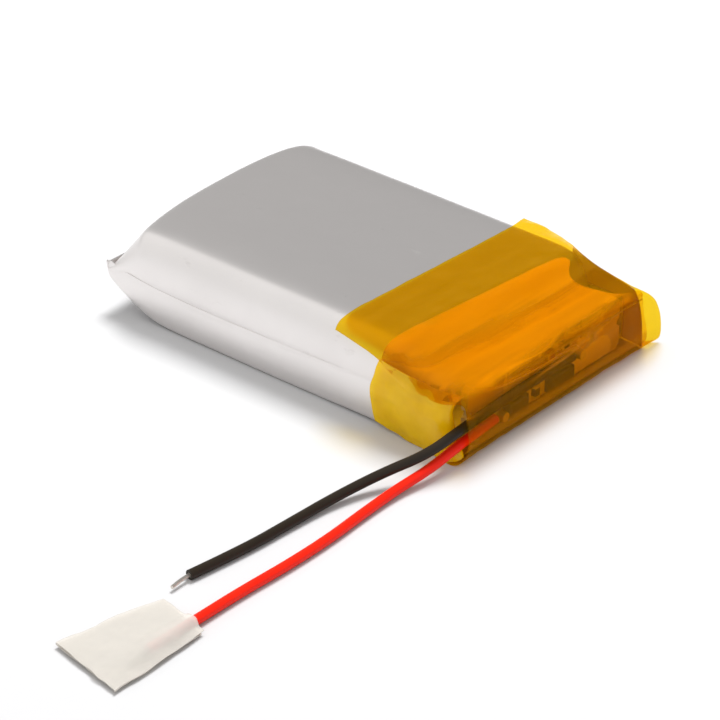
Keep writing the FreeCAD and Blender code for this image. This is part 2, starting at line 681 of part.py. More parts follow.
def lead_path(points):
    """Straight runs joined by tangent arcs, each as large as its runs allow; the least radius."""
    edges = []
    radii = []
    start = points[0]
    for before, corner, after in zip(points, points[1:], points[2:]):
        into = (corner - before).normalize()
        out = (after - corner).normalize()
        reach = ARC_SHARE * min((corner - before).Length, (after - corner).Length)
        half_turn = into.getAngle(out) / 2
        first = corner - into * reach
        last = corner + out * reach
        inward = (out - into).normalize()
        radius = reach / math.tan(half_turn)
        middle = corner + inward * (radius / math.cos(half_turn) - radius)
        radii.append(radius)
        edges.append(Part.LineSegment(start, first).toShape())
        edges.append(Part.Arc(first, middle, last).toShape())
        start = last
    edges.append(Part.LineSegment(start, points[-1]).toShape())
    return Part.Wire(edges), min(radii)


def sweep(path, radius):
    """A round bar of the given radius along a path."""
    start = path.Edges[0].Vertexes[0].Point
    along = (path.Edges[0].Vertexes[-1].Point - start).normalize()
    section = Part.Wire([Part.Circle(start, along, radius).toShape()])
    return path.makePipeShell([section], True, False)


def place(label, shape):
    piece = doc.addObject("Part::Feature", label)
    piece.Label = label
    piece.Shape = shape
    piece.Placement = FreeCAD.Placement(LEAD_ORIGIN, FreeCAD.Rotation())
    return keep(piece)


LEADS = {"black": BLACK_ROUTE, "red": RED_ROUTE}
lead_radius = cell("lead_diameter") / 2
core_radius = cell("conductor_diameter") / 2
lead_sweeps = {}
for colour, route in LEADS.items():
    points = [V(*point) for point in route]
    path, least_radius = lead_path(points)
    lead_sweeps[colour] = sweep(path, lead_radius)
    sleeve = lead_sweeps[colour].cut(sweep(path, core_radius))
    ideal = math.pi * (lead_radius ** 2 - core_radius ** 2) * path.Length
    print(colour, "lead length", round(path.Length, 2), "least arc radius", round(least_radius, 1),
          "volume share", round(sleeve.Volume / ideal, 4))
    place(f"{colour}_lead", sleeve)
    stub = Part.makeCylinder(core_radius, cell("stub_length"), points[0], points[0] - points[1])
    core = sweep(path, core_radius).fuse(stub)
    if colour == "black":
        outward = points[-1] - points[-2]
        tip = Part.makeCylinder(core_radius, cell("bare_tip"), points[-1], outward)
        core = core.fuse(tip)
    place(f"{colour}_conductor", core.removeSplitter())
    joint_y = points[0].y + cell("solder_setback")
    board_side = V(work_out(BOARD_FACE_X) - LEAD_ORIGIN.x, joint_y, points[0].z)
    joint = Part.makeCone(cell("solder_foot"), cell("solder_tip"), cell("solder_height"), board_side,
                          V(1, 0, 0)).cut(stub)
    place(f"{colour}_solder_joint", joint)

# ---------------------------------------------------------------------------
# White tape folded over the end of the red lead
# ---------------------------------------------------------------------------
FLAG_CORNERS = [
    (-5.6, -32.7), (-5.0, -29.0), (-3.9, -24.7), (0.4, -25.6), (0.7, -30.7), (0.6, -33.9),
    (-1.1, -33.9), (-4.1, -33.1),
]
rim = [V(x, y, 0) for x, y in FLAG_CORNERS]
flag_face = Part.Face(Part.makePolygon(rim + [rim[0]]))
flag_block = flag_face.extrude(V(0, 0, cell("flag_thickness")))
place("lead_end_flag", flag_block.cut(lead_sweeps["red"]))

# ---------------------------------------------------------------------------
# Check every object, then write one file for each sub-part
# ---------------------------------------------------------------------------
doc.recompute()
for item in doc.Objects:
    if "Invalid" in item.State or "Error" in item.State:
        raise ValueError(f"{item.Label} did not recompute: {item.State}")
os.makedirs("parts", exist_ok=True)
for piece in subparts:
    if piece.Shape.isNull() or not piece.Shape.isValid():
        raise ValueError(f"{piece.Label} has no valid shape")
    piece.Shape.exportStep(f"parts/{piece.Label}.step")
    box = piece.Shape.BoundBox
    extent = [round(side, 2) for side in (box.XMin, box.XMax, box.YMin, box.YMax, box.ZMin, box.ZMax)]
    print(piece.Label, round(piece.Shape.Volume, 3), extent, len(piece.Shape.Solids))
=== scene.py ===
import math
import random

import bpy
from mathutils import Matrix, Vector


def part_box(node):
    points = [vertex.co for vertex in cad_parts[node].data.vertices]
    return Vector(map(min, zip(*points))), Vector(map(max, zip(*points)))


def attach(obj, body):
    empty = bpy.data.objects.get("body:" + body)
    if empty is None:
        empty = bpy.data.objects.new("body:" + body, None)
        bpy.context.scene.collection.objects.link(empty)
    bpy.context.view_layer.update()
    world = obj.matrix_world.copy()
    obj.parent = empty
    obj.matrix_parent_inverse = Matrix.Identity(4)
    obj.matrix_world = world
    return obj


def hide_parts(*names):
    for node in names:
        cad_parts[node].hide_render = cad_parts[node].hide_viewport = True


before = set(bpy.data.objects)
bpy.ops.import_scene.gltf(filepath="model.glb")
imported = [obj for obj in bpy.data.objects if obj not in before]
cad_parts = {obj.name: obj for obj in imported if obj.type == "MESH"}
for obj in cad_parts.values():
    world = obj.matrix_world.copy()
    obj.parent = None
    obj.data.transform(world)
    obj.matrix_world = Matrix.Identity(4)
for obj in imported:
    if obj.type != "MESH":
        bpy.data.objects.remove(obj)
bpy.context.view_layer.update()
MM = 0.001


# --- Electrode roll ----------------------------------------------------------------------
# The jelly roll inside the pouch: graphite-coated copper and oxide-coated aluminium foils,
# wound flat with two separator films and closed by a strip of clear tape.
class Field:
    """A value that varies over a surface.  Arithmetic on it adds Math nodes to its tree."""

    def __init__(self, socket):
        self.socket = socket
        self.tree = socket.id_data

    def node(self, kind, settings=None, sockets=None, output=0):
        """Adds a node: its settings first, then a value or a link for each socket."""
        item = self.tree.nodes.new(kind)
        for name, value in (settings or {}).items():
            setattr(item, name, value)
        for name, value in (sockets or {}).items():
            connect(item.inputs[name], value)
        return Field(item.outputs[output])

    def math(self, operation, first, second):
        return self.node("ShaderNodeMath", {"operation": operation}, {0: first, 1: second})

    def __add__(self, other):
        return self.math("ADD", self, other)

    __radd__ = __add__

    def __mul__(self, other):
        return self.math("MULTIPLY", self, other)

    __rmul__ = __mul__

    def __sub__(self, other):
        return self.math("SUBTRACT", self, other)

    def __rsub__(self, other):
        return self.math("SUBTRACT", other, self)

    def __pow__(self, other):
        return self.math("POWER", self, other)

    def band(self, low, high):
        """0 below low, 1 above high, and a smooth step between."""
        settings = {"interpolation_type": "SMOOTHSTEP"}
        return self.node("ShaderNodeMapRange", settings, {"Value": self, 1: low, 2: high})

    def noise(self, size, detail=2.0, roughness=0.5, stretch=(1, 1, 1)):
        """Noise whose features are about the given size in metres."""
        place = self.node("ShaderNodeMapping", {}, {"Vector": self, "Scale": stretch})
        sockets = {"Vector": place, "Scale": 1 / size, "Detail": detail, "Roughness": roughness}
        return self.node("ShaderNodeTexNoise", {}, sockets)

    def axis(self, index):
        """One coordinate of a place or direction: 0, 1 or 2 for X, Y or Z."""
        return self.node("ShaderNodeSeparateXYZ", {}, {0: self}, output=index)

    def blend(self, first, second):
        """Mixes two colours, this value being the share of the second."""
        settings = {"data_type": "RGBA"}
        return self.node("ShaderNodeMix", settings, {0: self, 6: first, 7: second}, output=2)


def connect(socket, value):
    """Sets a socket, or links it where the value is a Field."""
    if isinstance(value, Field):
        value.tree.links.new(value.socket, socket)
    elif isinstance(value, (tuple, list)) and len(value) == 3 and socket.type == "RGBA":
        socket.default_value = (*value, 1)
    else:
        socket.default_value = value


def new_finish(name, **constants):
    """A material with one Principled shader: the material, its shader, object coordinates."""
    material = bpy.data.materials.new(name)
    material.use_nodes = True
    tree = material.node_tree
    shader = tree.nodes["Principled BSDF"]
    for socket, value in constants.items():
        connect(shader.inputs[socket.replace("_", " ")], value)
    place = Field(tree.nodes.new("ShaderNodeTexCoord").outputs["Object"])
    return material, shader, place


def bump(height, depth, strength=1.0):
    """A Bump node's normal from a height field; depth is the field's full height in metres."""
    sockets = {"Strength": strength, "Distance": depth, "Height": height}
    return height.node("ShaderNodeBump", {}, sockets)


def finish_nodes(material, *nodes):
    """Puts one material on CAD nodes."""
    for node in nodes:
        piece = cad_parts[node]
        if not piece.material_slots:
            piece.data.materials.append(None)
        for place in piece.material_slots:
            place.material = material


def coated_foil(name, colour, worn, roughness):
    """An electrode coating: a fine mineral grain rolled flat, with faint streaks along it."""
    material, shader, place = new_finish(name)
    grain = place.noise(0.06 * MM, 4.0, 0.6)
    streaks = place.noise(0.5 * MM, 2.0, 0.5, (0.1, 1, 1))
    connect(shader.inputs["Base Color"], (grain * 0.5 + streaks * 0.3).blend(colour, worn))
    connect(shader.inputs["Roughness"], grain * 0.2 + roughness)
    connect(shader.inputs["Normal"], bump(grain, 0.006 * MM))
    return material


finish_nodes(coated_foil("graphite_coating", (0.012, 0.012, 0.014), (0.05, 0.05, 0.055), 0.6),
             "anode_strip")
finish_nodes(coated_foil("oxide_coating", (0.02, 0.021, 0.024), (0.09, 0.09, 0.10), 0.5),
             "cathode_strip")
finish_nodes(coated_foil("separator_skin", (0.82, 0.82, 0.80), (0.68, 0.68, 0.66), 0.35),
             "separator_inner", "separator_outer")
finish_nodes(coated_foil("roll_tape_skin", (0.62, 0.66, 0.45), (0.50, 0.56, 0.36), 0.25),
             "roll_tape")

# --- Pouch -------------------------------------------------------------------------------
# Aluminium laminate, heat sealed round the roll: a drawn cup above and a flat lid below, both
# 0.11 mm thick.  The side seals are folded up as wings, and the plain end is folded up too.
LAMINATE = 0.11 * MM
SHARP_ANGLE = math.radians(50)
SMOOTHING = 3


def shaped_sheet(name, cage, thickness, offset=-1.0, crinkle=(5.0, 0.05, 0.5)):
    """A sheet drawn over a cage: a grid whose rows are laid on the cage's rows, in millimetres.
    It is smoothed, crinkled (the size of a crease, its depth, and the texture value that stays
    in place) and given its thickness."""
    bpy.ops.object.select_all(action="DESELECT")
    steps_in_row, steps_of_rows = len(cage[0]) - 1, len(cage) - 1
    bpy.ops.mesh.primitive_grid_add(x_subdivisions=steps_in_row, y_subdivisions=steps_of_rows,
                                    size=1)
    piece = bpy.context.object
    piece.name = name
    points = [point for row in cage for point in row]
    for vertex, point in zip(piece.data.vertices, points):
        vertex.co = Vector(point) * MM
    smooth = piece.modifiers.new("smooth", "SUBSURF")
    smooth.levels = smooth.render_levels = SMOOTHING
    smooth.boundary_smooth = "PRESERVE_CORNERS"
    creases = bpy.data.textures.new(name + "_creases", "CLOUDS")
    creases.noise_scale = crinkle[0] * MM
    creases.noise_depth = 2
    crumple = piece.modifiers.new("crumple", "DISPLACE")
    crumple.texture = creases
    crumple.texture_coords = "LOCAL"
    crumple.strength = crinkle[1] * MM
    crumple.mid_level = crinkle[2]
    wall = piece.modifiers.new("wall", "SOLIDIFY")
    wall.thickness = thickness
    wall.offset = offset
    for modifier in ("smooth", "crumple", "wall"):
        bpy.ops.object.modifier_apply(modifier=modifier)
    bpy.ops.object.mode_set(mode="EDIT")
    bpy.ops.mesh.select_all(action="SELECT")
    bpy.ops.mesh.normals_make_consistent(inside=False)
    bpy.ops.object.mode_set(mode="OBJECT")
    bpy.ops.object.shade_smooth_by_angle(angle=SHARP_ANGLE)
    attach(piece, "root")
    return piece


def along(stops, x):
    """The value at x on a line of (x, value) stops."""
    for (x0, v0), (x1, v1) in zip(stops, stops[1:]):
        if x <= x1:
            return v0 + (v1 - v0) * max(x - x0, 0) / (x1 - x0)
    return stops[-1][1]


# stops of (x, height): the top of the folded side seals, and the underside of the pouch
WING_TOP = [(-16.16, 3.66), (-16.0, 3.72), (-15.7, 3.6), (-15.0, 3.34), (-13.0, 3.1),
            (-10.8, 2.95), (-6.0, 2.88), (4.0, 3.15), (9.2, 3.38), (14.0, 3.3)]
LID_FLOOR = [(-16.1, 2.3), (-15.2, 1.6), (-14.2, 1.08), (-12.8, 0.38), (-11.3, 0.04),
             (-10.0, 0.0), (4.4, 0.0), (5.2, 0.12), (14.0, 0.12)]
# stations of the cup: x, crown height, foot height, and how far the corners lag behind its middle
CUP_STATIONS = [
    (-16.04, 3.3, 2.9, 0.0), (-15.9, 3.7, 2.6, 0.15), (-15.5, 4.9, 2.05, 0.75),
    (-15.25, 5.8, 1.9, 1.4), (-15.05, 6.3, 1.8, 1.6), (-14.6, 6.46, 1.6, 1.5),
    (-13.6, 6.5, 1.0, 1.25), (-11.6, 6.5, 0.4, 0.7), (-8.0, 6.5, 0.3, 0.15), (-3.5, 6.5, 0.3, 0.0),
    (1.5, 6.5, 0.3, 0.0), (6.0, 6.5, 0.3, 0.0), (8.9, 6.5, 0.3, 0.0), (9.9, 6.46, 0.3, 0.1),
    (10.5, 6.0, 0.3, 0.3), (10.8, 4.4, 0.3, 0.4), (11.0, 2.0, 0.3, 0.2), (11.25, 0.5, 0.26, 0.0),
    (11.9, 0.3, 0.24, 0.0), (13.9, 0.3, 0.24, 0.0),
]
# the section's foot, its height above the foot, and half its width
CUP_FOOT = 0.3
CUP_RISE = 6.2
CUP_SIDE = 9.7
# stops of (x, share of the section's width), for the near half and the far half
CUP_SPREAD = [(-16, 1.012), (-15.2, 1.0), (-14.0, 1.0), (-11.0, 0.995), (14.0, 1.0)]
FAR_CUP_SPREAD = [(-16, 1.012), (-15.2, 1.0), (-14.0, 0.975), (-11.0, 0.995), (14.0, 1.0)]
# how far the cup's ply ends below the top of the folded seal
PLY_STEP = 0.03
# the cup's section from the near side to the far side: y and height
CUP_SECTION = [
    (-9.6, 0.3), (-9.68, 1.6), (-9.8, 2.7), (-9.85, 3.3), (-9.76, 4.5), (-9.42, 5.65),
    (-8.85, 6.36), (-7.9, 6.49), (-4.5, 6.5), (0.0, 6.5), (4.5, 6.5), (7.4, 6.49), (8.6, 6.4),
    (9.15, 5.9), (9.4, 5.0), (9.84, 3.4), (9.8, 2.8), (9.66, 1.6), (9.6, 0.3),
]


def cup_row(y, z):
    """One line of the cup from the folded end to the terrace.  At the folded end the corners
    lag behind the middle, evenly on the near side and mostly at the very corner on the far."""
    row = []
    for x, crown, foot, standing in CUP_STATIONS:
        share = (z - CUP_FOOT) / CUP_RISE
        side = abs(y) / CUP_SIDE
        retreat = standing * (side ** 2.6 if y < 0 else 0.45 * side ** 3 + 1.1 * side ** 9)
        spread = along(FAR_CUP_SPREAD if y > 0 else CUP_SPREAD, x)
        point = (x + retreat * min(share * 1.6, 1.0), y * spread, foot + share * (crown - foot))
        row.append(point)
    return row


def wing_row(y, share, lift):
    """A line of the cup's own ply of the folded seal, up to a share of the wing's height."""
    row = []
    for x, *_ in CUP_STATIONS:
        floor, top = along(LID_FLOOR, x), along(WING_TOP, x)
        row.append((x, y, floor + lift + share * (top - floor - lift - PLY_STEP)))
    return row


cup = shaped_sheet("pouch_cup_skin", [
    wing_row(-9.7, 1.0, 0.2), wing_row(-9.78, 0.5, 0.2), wing_row(-9.77, 0.04, 0.2),
    *(cup_row(y, z) for y, z in CUP_SECTION),
    wing_row(9.77, 0.04, 0.2), wing_row(9.78, 0.5, 0.2), wing_row(9.7, 1.0, 0.2),
], LAMINATE)
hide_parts("pouch_cup")

# the lid's stations, the height its lip starts from, and where the lip begins
LID_STATIONS = [-16.16, -16.1, -15.9, -15.2, -14.2, -12.8, -11.5, -10.2, -6.0, 0.0, 4.2, 5.0, 9.0,
                13.95]
FOLD_TOP = 3.56
FOLD_X = -16


def lid_row(y, share, lift):
    """One line of the lid from the folded end, where it stands up as a lip, to the terrace.
    share is how far up the wing the line lies."""
    row = []
    for x in LID_STATIONS:
        floor, top = along(LID_FLOOR, x), along(WING_TOP, x)
        lean = 0.05 * math.sin(x * 0.55 + y) * share
        if x == LID_STATIONS[0]:
            floor = FOLD_TOP
        bow = 0.16 * math.sin(share * math.pi) if x < FOLD_X else 0
        row.append((x - bow, y + math.copysign(lean, y), floor + lift + share * (top - floor)))
    return row


lid = shaped_sheet("pouch_lid_skin", [
    lid_row(-9.74, 1.0, 0.0), lid_row(-9.86, 0.8, 0.0), lid_row(-9.9, 0.3, 0.0),
    lid_row(-9.82, 0.0, 0.03), *(lid_row(y, 0.0, 0.0) for y in (-9.5, -5.0, 0.0, 5.0, 9.5)),
    lid_row(9.82, 0.0, 0.03), lid_row(9.9, 0.3, 0.0), lid_row(9.86, 0.8, 0.0),
    lid_row(9.74, 1.0, 0.0),
], LAMINATE, offset=1.0)
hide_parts("pouch_lid")

# the laminate's nylon face: satin silver, finely rolled, with soft dents and scuffs
foil, foil_shader, foil_place = new_finish("silver_laminate", Metallic=0.9, Specular_IOR_Level=0.5)
clouding = foil_place.noise(5.0 * MM, 4.0, 0.55)
fine_scuffs = foil_place.noise(0.9 * MM, 5.0, 0.7, (0.5, 1, 1)).band(0.60, 0.74)
scuffs = fine_scuffs * foil_place.noise(7.0 * MM).band(0.45, 0.6)
connect(foil_shader.inputs["Base Color"],
        (clouding * 0.6 + scuffs * 0.5).blend((0.83, 0.80, 0.785), (0.72, 0.69, 0.675)))
connect(foil_shader.inputs["Roughness"], clouding * 0.08 + scuffs * 0.12 + 0.33)
rolled = foil_place.noise(0.12 * MM, 2.0, 0.5, (0.06, 1, 1))
dents = foil_place.noise(3.5 * MM, 2.0)
foil_relief = dents * 0.75 + rolled * 0.05 + scuffs * 0.2
connect(foil_shader.inputs["Normal"], bump(foil_relief, 0.03 * MM))
for skin in (cup, lid):
    skin.data.materials.append(foil)

# --- Tabs and terrace --------------------------------------------------------------------
# Foil tabs leave the pouch through strips of sealing film on the terrace, and a strip of
# insulating paper is laid over them before the board is folded up in front.
def brushed_metal(name, bright, dull, roughness, stretch, metallic=1.0):
    """Rolled strip metal: fine lines one way, and a little cloudy tarnish."""
    material, shader, place = new_finish(name, Metallic=metallic)
    lines = place.noise(0.09 * MM, 3.0, 0.6, stretch)
    tarnish = place.noise(1.2 * MM, 3.0)
    connect(shader.inputs["Base Color"], (tarnish * 0.7 + lines * 0.3).blend(bright, dull))
    connect(shader.inputs["Roughness"], lines * 0.2 + roughness)
    connect(shader.inputs["Normal"], bump(lines, 0.004 * MM))
    return material


tab_foil = brushed_metal("tab_aluminium", (0.88, 0.88, 0.88), (0.70, 0.70, 0.71), 0.25,
                         (0.08, 1, 1))
finish_nodes(tab_foil, "positive_tab")
nickel_strip = brushed_metal("nickel_strip", (0.95, 0.93, 0.88), (0.80, 0.77, 0.71), 0.30,
                             (1, 0.12, 1), 0.45)
finish_nodes(nickel_strip, "negative_tab", "nickel_link_negative", "nickel_link_positive")

seal, seal_shader, seal_place = new_finish("sealing_film_skin", Roughness=0.3)
seal_haze = seal_place.noise(0.8 * MM, 3.0)
connect(seal_shader.inputs["Base Color"], seal_haze.blend((0.85, 0.86, 0.84), (0.66, 0.68, 0.68)))
connect(seal_shader.inputs["Roughness"], seal_haze * 0.3 + 0.22)
finish_nodes(seal, "tab_film_positive", "tab_film_negative")

paper_strip, strip_shader, strip_place = new_finish("insulating_paper_fibre", Roughness=0.85)
fibres = strip_place.noise(0.14 * MM, 4.0, 0.65, (1, 0.3, 1))
connect(strip_shader.inputs["Base Color"], fibres.blend((0.80, 0.78, 0.70), (0.60, 0.57, 0.49)))
connect(strip_shader.inputs["Normal"], bump(fibres, 0.02 * MM))
finish_nodes(paper_strip, "terrace_insulator")

# --- Protection board --------------------------------------------------------------------
# A glass-fibre board on edge: plated pads show between the parts, and the rest is solder mask.
# Its two chips are moulded resin, with tinned terminals, and three small parts sit above.
board, board_shader, board_place = new_finish("board_mask", Roughness=0.35)
flux = (board_place.noise(0.9 * MM, 2.0) - 0.5) * 1.3 * MM
across = board_place.axis(1) + flux
upward = board_place.axis(2) + flux * 0.5
PAD_EDGE = 0.04 * MM


def past(distance, line):
    """1 past a line given in millimetres, with a soft edge."""
    return distance.band(line * MM - PAD_EDGE, line * MM + PAD_EDGE)


def pad_window(low, high, bottom, top):
    """1 inside a rectangle of the board's face, given in millimetres."""
    return (past(across, low) * (1 - past(across, high))
            * past(upward, bottom) * (1 - past(upward, top)))


pads = (pad_window(-2.4, 7.2, 0.5, 2.05) + pad_window(-7.6, -4.6, 0.5, 1.9)
        + pad_window(-4.4, -1.6, 2.5, 4.2) + pad_window(3.5, 6.3, 2.5, 4.2)
        + pad_window(-0.6, 2.6, 3.2, 3.9))
glass_weave = board_place.noise(0.16 * MM, 3.0, 0.6)
mask_colour = glass_weave.blend((0.58, 0.48, 0.22), (0.76, 0.64, 0.33))
connect(board_shader.inputs["Base Color"], pads.blend(mask_colour, (0.97, 0.93, 0.88)))
connect(board_shader.inputs["Metallic"], pads * 0.1)
connect(board_shader.inputs["Roughness"], pads * -0.05 + glass_weave * 0.15 + 0.3)
connect(board_shader.inputs["Normal"], bump(glass_weave * 0.3 + pads * 0.7, 0.015 * MM))
finish_nodes(board, "circuit_board")

resin, resin_shader, resin_place = new_finish("chip_resin_moulding", Roughness=0.5)
resin_grain = resin_place.noise(0.05 * MM, 4.0, 0.7)
connect(resin_shader.inputs["Base Color"],
        resin_grain.blend((0.014, 0.014, 0.015), (0.05, 0.05, 0.052)))
connect(resin_shader.inputs["Roughness"], resin_grain * 0.25 + 0.38)
connect(resin_shader.inputs["Normal"], bump(resin_grain, 0.01 * MM))
finish_nodes(resin, "protection_chip", "switch_chip")

tin, tin_shader, tin_place = new_finish("dipped_tin", Metallic=1.0)
tin_cloud = tin_place.noise(0.2 * MM, 3.0)
connect(tin_shader.inputs["Base Color"], tin_cloud.blend((0.88, 0.87, 0.85), (0.66, 0.65, 0.62)))
connect(tin_shader.inputs["Roughness"], tin_cloud * 0.25 + 0.2)
connect(tin_shader.inputs["Normal"], bump(tin_cloud, 0.02 * MM))
finish_nodes(tin, "chip_terminals", "passive_terminals", "black_solder_joint", "red_solder_joint")

finish_nodes(coated_foil("capacitor_body", (0.42, 0.27, 0.13), (0.55, 0.38, 0.21), 0.4),
             "filter_capacitor")
finish_nodes(coated_foil("resistor_body", (0.02, 0.02, 0.022), (0.07, 0.07, 0.075), 0.25),
             "supply_resistor", "sense_resistor")

# --- Amber tape --------------------------------------------------------------------------
# Two layers of clear amber film folded over the board end.  The outer one shows a square edge
# on the crown, an ear and a flap past the far side, and a mouth at the near corner for the leads.
FILM = 0.06 * MM
SPREAD = (0.18, 0.38, 0.58, 0.78)


def film_row(near, far):
    """One line across a film: the near points, a straight middle, and the far points."""
    (x0, y0, z0), (x1, y1, z1) = near[-1], far[0]
    middle = [(x0 + (x1 - x0) * t, y0 + (y1 - y0) * t, z0 + (z1 - z0) * t) for t in SPREAD]
    return [*near, *middle, *far]


outer_cage = [
    film_row([(5.0, -10.04, 6.1), (4.9, -9.8, 6.32), (4.66, -8.7, 6.54)],
             [(5.54, 8.1, 6.54), (5.1, 9.3, 6.3), (4.75, 10.35, 5.95)]),
    film_row([(6.96, -10.08, 5.82), (6.9, -9.9, 6.25), (6.8, -9.0, 6.55)],
             [(7.2, 8.2, 6.54), (7.0, 9.4, 6.25), (6.9, 10.45, 5.9)]),
    film_row([(8.8, -10.1, 5.4), (8.75, -10.0, 6.05), (8.7, -9.1, 6.57)],
             [(9.3, 8.1, 6.54), (9.2, 9.0, 6.25), (8.9, 9.75, 5.95)]),
    film_row([(9.8, -10.1, 4.75), (9.6, -10.05, 5.9), (9.5, -9.2, 6.62)],
             [(10.5, 7.6, 6.6), (10.3, 8.5, 6.4), (9.9, 9.2, 6.15)]),
    film_row([(10.7, -10.1, 4.4), (10.5, -10.05, 5.6), (10.4, -9.2, 6.4)],
             [(11.3, 7.4, 6.4), (11.3, 8.2, 6.3), (11.1, 8.6, 6.2)]),
    film_row([(11.5, -10.1, 4.2), (11.3, -10.02, 5.3), (11.1, -9.1, 5.92)],
             [(11.9, 7.3, 6.05), (11.9, 8.1, 6.0), (11.9, 8.5, 5.95)]),
    film_row([(12.4, -10.1, 4.05), (12.3, -10.0, 5.1), (12.2, -9.1, 5.72)],
             [(12.9, 7.3, 5.85), (12.9, 8.1, 5.8), (12.9, 8.5, 5.7)]),
    film_row([(13.5, -10.08, 3.9), (13.4, -9.95, 4.9), (13.3, -9.0, 5.45)],
             [(13.9, 7.4, 5.55), (14.0, 8.2, 5.5), (14.1, 8.6, 5.45)]),
    film_row([(14.7, -10.05, 4.0), (14.7, -9.85, 4.6), (14.8, -8.9, 4.95)],
             [(15.2, 7.6, 5.1), (15.2, 8.4, 5.15), (15.3, 8.8, 5.1)]),
    film_row([(15.7, -9.8, 4.45), (15.8, -9.5, 4.6), (15.85, -8.7, 4.68)],
             [(15.9, 7.8, 4.75), (15.95, 8.7, 4.8), (16.0, 9.8, 4.4)]),
    film_row([(16.0, -9.75, 4.0), (16.0, -9.4, 4.05), (16.0, -8.6, 4.1)],
             [(16.0, 7.9, 4.1), (16.0, 8.9, 4.1), (16.05, 10.5, 3.8)]),
    film_row([(16.08, -9.7, 2.8), (16.05, -9.3, 2.8), (16.0, -8.5, 2.8)],
             [(16.0, 8.0, 2.8), (16.0, 9.2, 2.8), (16.0, 11.2, 2.7)]),
    film_row([(16.08, -9.55, 1.4), (16.05, -9.1, 1.4), (16.0, -8.4, 1.4)],
             [(16.0, 8.0, 1.4), (16.0, 9.4, 1.4), (16.0, 11.5, 1.4)]),
    film_row([(16.1, -9.7, 0.5), (16.05, -9.3, 0.45), (16.0, -8.4, 0.4)],
             [(16.0, 7.9, 0.45), (16.05, 9.3, 0.45), (16.1, 11.4, 0.4)]),
    film_row([(16.0, -10.8, 0.1), (15.9, -9.8, 0.08), (15.75, -8.4, 0.06)],
             [(15.75, 7.8, 0.06), (15.9, 9.1, 0.08), (16.0, 10.9, 0.12)]),
    film_row([(14.6, -10.5, 0.05), (14.6, -9.8, 0.04), (14.5, -8.4, 0.04)],
             [(14.5, 7.8, 0.04), (14.6, 9.1, 0.04), (14.9, 10.0, 0.05)]),
    film_row([(11.6, -9.8, 0.04), (11.5, -9.5, 0.04), (11.4, -8.4, 0.04)],
             [(11.4, 7.8, 0.04), (11.4, 9.1, 0.04), (11.5, 9.8, 0.04)]),
    film_row([(8.6, -9.3, 0.04), (8.5, -9.1, 0.04), (8.4, -8.4, 0.04)],
             [(8.4, 7.8, 0.04), (8.4, 9.1, 0.04), (8.4, 9.8, 0.04)]),
    film_row([(5.3, -9.2, 0.04), (5.2, -9.0, 0.04), (5.1, -8.4, 0.04)],
             [(5.3, 7.8, 0.04), (5.4, 9.1, 0.04), (5.4, 9.7, 0.04)]),
]
PLEATS = random.Random(3)
PLEAT_PLACES = (-9.35, -9.1, -8.5, -5.2, -1.8, 1.8, 5.0, 7.9, 8.8, 9.7)


def pleat(height, depth, x_face):
    """A line of a film across the end face, pushed in by up to depth, unevenly."""
    row = []
    for y in PLEAT_PLACES:
        push = depth * PLEATS.uniform(0.1, 1.0)
        row.append((x_face - push, y, height + PLEATS.uniform(-0.16, 0.16)))
    return row


outer_film = shaped_sheet("outer_amber_film", outer_cage, FILM, offset=0.0,
                          crinkle=(1.6, -0.16, 0.2))

# the near side: the lower half of the film turned up over the wing, its front edge curled
side_cage = [
    [(8.5, -9.98, 0.45), (10.6, -10.0, 0.1), (12.6, -10.1, 0.05), (14.0, -10.35, 0.05),
     (15.2, -10.5, 0.1), (15.7, -10.3, 0.25), (15.85, -10.0, 0.35), (15.8, -9.8, 0.4)],
    [(8.15, -10.04, 1.4), (10.3, -10.12, 1.0), (12.4, -10.3, 0.75), (13.9, -10.5, 0.6),
     (15.0, -10.4, 0.6), (15.45, -10.1, 0.75), (15.55, -9.8, 0.85), (15.4, -9.55, 0.9)],
    [(8.0, -10.04, 2.6), (10.1, -10.14, 2.2), (12.2, -10.35, 1.9), (13.6, -10.4, 1.9),
     (14.5, -10.25, 2.0), (14.85, -9.95, 2.1), (14.8, -9.6, 2.15), (14.55, -9.45, 2.2)],
    [(8.25, -10.05, 3.6), (9.8, -10.08, 3.25), (11.3, -10.3, 3.0), (13.2, -10.34, 2.95),
     (14.25, -10.2, 3.05), (14.6, -9.9, 3.15), (14.55, -9.5, 3.2), (14.3, -9.35, 3.2)],
    [(8.45, -10.06, 4.1), (9.5, -9.98, 4.0), (11.2, -9.96, 3.55), (13.2, -10.06, 3.4),
     (14.2, -9.95, 3.5), (14.6, -9.65, 3.6), (14.6, -9.3, 3.65), (14.35, -9.1, 3.6)],
    [(8.6, -10.08, 4.75), (9.7, -10.14, 4.55), (11.6, -10.22, 4.15), (13.2, -10.14, 4.0),
     (14.2, -9.9, 4.1), (14.7, -9.55, 4.2), (14.75, -9.15, 4.15), (14.5, -8.9, 4.0)],
    [(8.9, -10.06, 5.4), (9.8, -10.08, 5.25), (11.5, -9.96, 4.95), (13.1, -9.8, 4.75),
     (14.2, -9.6, 4.6), (14.8, -9.25, 4.55), (14.95, -8.9, 4.4), (14.75, -8.6, 4.2)],
]
side_film = shaped_sheet("near_side_film", side_cage, FILM, offset=0.0, crinkle=(1.4, 0.2, 0.2))
for film in (outer_film, side_film):
    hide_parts("outer_tape")

